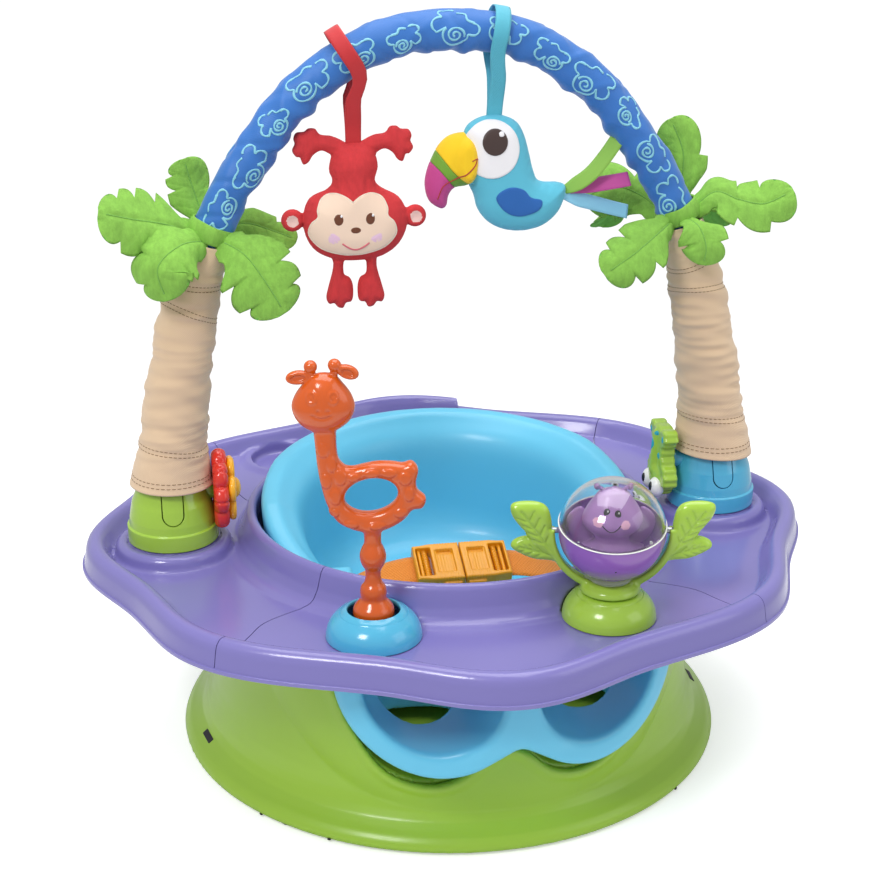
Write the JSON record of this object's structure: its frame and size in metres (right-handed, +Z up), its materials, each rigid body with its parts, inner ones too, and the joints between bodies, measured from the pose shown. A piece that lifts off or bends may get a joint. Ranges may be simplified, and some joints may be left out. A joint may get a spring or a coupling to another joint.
{
  "type": "baby activity seat",
  "caption": "Round floor seat with a moulded two-leg seat, a turning ring tray in joined segments, a padded toy arch and tray toys that spin and sway.",
  "frame": {"origin": "on the floor under the centre of the base", "axes": "+Z up, -Y to the front where the leg openings are, +X to the right as seen from the front"},
  "size_m": [0.51, 0.492, 0.5047],
  "materials": {
    "green_plastic": "satin",
    "lime_plastic": "gloss",
    "seat_foam": "satin",
    "sky_plastic": "gloss",
    "purple_plastic": "gloss",
    "orange_plastic": "gloss",
    "orchid_plastic": "gloss",
    "clear_plastic": "clear gloss",
    "red_plastic": "gloss",
    "yellow_plastic": "gloss",
    "white_plastic": "gloss",
    "buckle_plastic": "satin",
    "rubber": "matte",
    "nylon": "satin",
    "steel": "brushed",
    "tan_fabric": "brushed twill",
    "blue_satin": "printed satin",
    "leaf_plush": "short plush",
    "red_plush": "short plush",
    "blue_plush": "short plush",
    "beak_felt": "felt",
    "magenta_ribbon": "woven ribbon",
    "pale_ribbon": "woven ribbon",
    "webbing": "woven webbing"
  },
  "bodies": {
    "root": {"base_shell": "green_plastic", "booster_deck": "green_plastic", "glide_ring": "nylon", "seat_shell": "seat_foam", "buckle_socket": "buckle_plastic", "strap_right": "webbing", "deck_screw_1": "steel", "deck_screw_2": "steel", "deck_screw_3": "steel", "deck_screw_4": "steel", "foot_pad_1": "rubber", "foot_pad_2": "rubber", "foot_pad_3": "rubber", "foot_pad_4": "rubber"},
    "buckle_half": {"buckle_plug": "buckle_plastic", "strap_left": "webbing"},
    "tray": {"tray_front": "purple_plastic", "tray_right": "purple_plastic", "tray_back": "purple_plastic", "tray_left": "purple_plastic", "seam_latch_1": "nylon", "seam_latch_2": "nylon", "seam_latch_3": "nylon", "seam_latch_4": "nylon", "socket_left": "lime_plastic", "socket_right": "sky_plastic", "arch_tube": "steel", "arch_sleeve": "blue_satin", "trunk_left": "tan_fabric", "trunk_right": "tan_fabric", "palm_leaves_left": "leaf_plush", "palm_leaves_right": "leaf_plush", "giraffe_dome": "sky_plastic", "giraffe_grommet": "rubber", "spinner_dome": "lime_plastic"},
    "tab_left": {"socket_tab_left": "lime_plastic"},
    "tab_right": {"socket_tab_right": "sky_plastic"},
    "flower": {"flower_petals": "red_plastic", "flower_face": "yellow_plastic", "flower_axle": "steel"},
    "gecko": {"gecko_body": "lime_plastic", "gecko_eyes": "white_plastic", "gecko_axle": "steel"},
    "giraffe_ball": {"giraffe_pivot": "nylon"},
    "giraffe": {"giraffe": "orange_plastic"},
    "yoke": {"spinner_yoke": "lime_plastic"},
    "ball": {"ball_lower": "orchid_plastic", "ball_upper": "clear_plastic", "ball_bug": "orchid_plastic", "ball_pin_left": "steel", "ball_pin_right": "steel"},
    "monkey_strap": {"monkey_ribbon": "red_plush"},
    "monkey": {"monkey": "red_plush"},
    "toucan_strap": {"toucan_ribbon": "pale_ribbon"},
    "toucan": {"toucan_body": "blue_plush", "toucan_beak": "beak_felt", "tail_ribbon_green": "leaf_plush", "tail_ribbon_magenta": "magenta_ribbon", "tail_ribbon_blue": "pale_ribbon"}
  },
  "joints": [
    {"name": "tray_spin", "type": "hinge", "parent": "root", "child": "tray", "pos_m": [0, 0, 0.14], "axis": [0, 0, 1], "continuous": true},
    {"name": "buckle_release", "type": "slide", "parent": "root", "child": "buckle_half", "axis": [-1, 0, 0], "range_m": [0, 0.02]},
    {"name": "tab_left_press", "type": "hinge", "parent": "tray", "child": "tab_left", "pos_m": [-0.1925, -0.021, 0.196], "axis": [1, 0, 0], "range_deg": [0, 4], "stiffness_Nm_per_rad": 0.15},
    {"name": "tab_right_press", "type": "hinge", "parent": "tray", "child": "tab_right", "pos_m": [0.1925, -0.021, 0.196], "axis": [1, 0, 0], "range_deg": [0, 4], "stiffness_Nm_per_rad": 0.15},
    {"name": "flower_spin", "type": "hinge", "parent": "tray", "child": "flower", "pos_m": [-0.156, 0.0007, 0.186], "axis": [1, 0, 0], "continuous": true},
    {"name": "gecko_spin", "type": "hinge", "parent": "tray", "child": "gecko", "pos_m": [0.156, 0.0007, 0.186], "axis": [1, 0, 0], "continuous": true},
    {"name": "giraffe_nod", "type": "hinge", "parent": "tray", "child": "giraffe_ball", "pos_m": [-0.075, -0.152, 0.149], "axis": [0.9848, -0.1736, 0], "range_deg": [-10, 10], "stiffness_Nm_per_rad": 0.35},
    {"name": "giraffe_sway", "type": "hinge", "parent": "giraffe_ball", "child": "giraffe", "pos_m": [-0.075, -0.152, 0.149], "axis": [0.1736, 0.9848, 0], "range_deg": [-10, 10], "stiffness_Nm_per_rad": 0.35},
    {"name": "yoke_turn", "type": "hinge", "parent": "tray", "child": "yoke", "pos_m": [0.076, -0.151, 0.16], "axis": [0, 0, 1], "range_deg": [-5, 55]},
    {"name": "ball_spin", "type": "hinge", "parent": "yoke", "child": "ball", "pos_m": [0.076, -0.151, 0.202], "axis": [0.9848, -0.1736, 0], "continuous": true},
    {"name": "monkey_swing", "type": "hinge", "parent": "tray", "child": "monkey_strap", "pos_m": [-0.063, 0.0007, 0.47742], "axis": [1, 0, 0], "range_deg": [-30, 30]},
    {"name": "monkey_turn", "type": "hinge", "parent": "monkey_strap", "child": "monkey", "pos_m": [-0.063, 0.0007, 0.427], "axis": [0, 0, 1], "range_deg": [-40, 40], "stiffness_Nm_per_rad": 0.002},
    {"name": "toucan_swing", "type": "hinge", "parent": "tray", "child": "toucan_strap", "pos_m": [0.029, 0.0007, 0.48925], "axis": [1, 0, 0], "range_deg": [-30, 30]},
    {"name": "toucan_turn", "type": "hinge", "parent": "toucan_strap", "child": "toucan", "pos_m": [0.029, 0.0007, 0.437], "axis": [0, 0, 1], "range_deg": [-40, 40], "stiffness_Nm_per_rad": 0.002}
  ]
}
